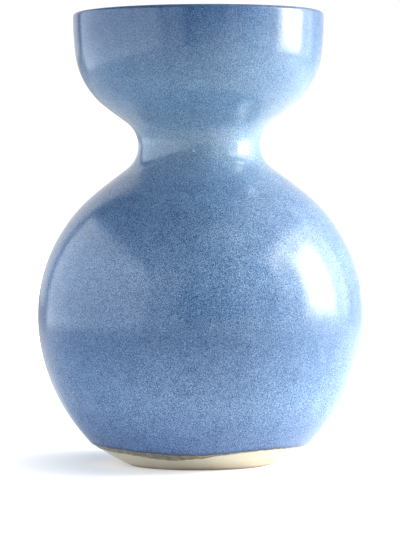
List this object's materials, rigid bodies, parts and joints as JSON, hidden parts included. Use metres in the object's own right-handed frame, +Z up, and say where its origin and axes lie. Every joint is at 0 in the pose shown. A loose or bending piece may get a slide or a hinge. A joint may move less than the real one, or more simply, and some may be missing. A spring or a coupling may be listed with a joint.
{
  "type": "flower vase",
  "caption": "Stoneware bulb vase with a round globe, pinched neck and deep open cup, speckled blue glaze over a bare clay foot.",
  "frame": {"origin": "centre of the foot, on the surface the vase stands on", "axes": "+Z up along the axis of revolution, out of the mouth; the vase is round, so +X and +Y are free, and the picture looks along +Y"},
  "size_m": [0.227, 0.227, 0.315],
  "materials": {
    "bare_clay": "matt, unglazed, fine turning lines",
    "blue_glaze": "gloss, fine dark blue speckle",
    "lining_glaze": "gloss, fine dark blue speckle",
    "olive_glaze": "gloss, thin, the clay shows through"
  },
  "bodies": {
    "root": {"clay_body": "bare_clay", "outer_glaze": "blue_glaze", "inner_glaze": "lining_glaze", "margin_glaze": "olive_glaze"}
  },
  "joints": []
}
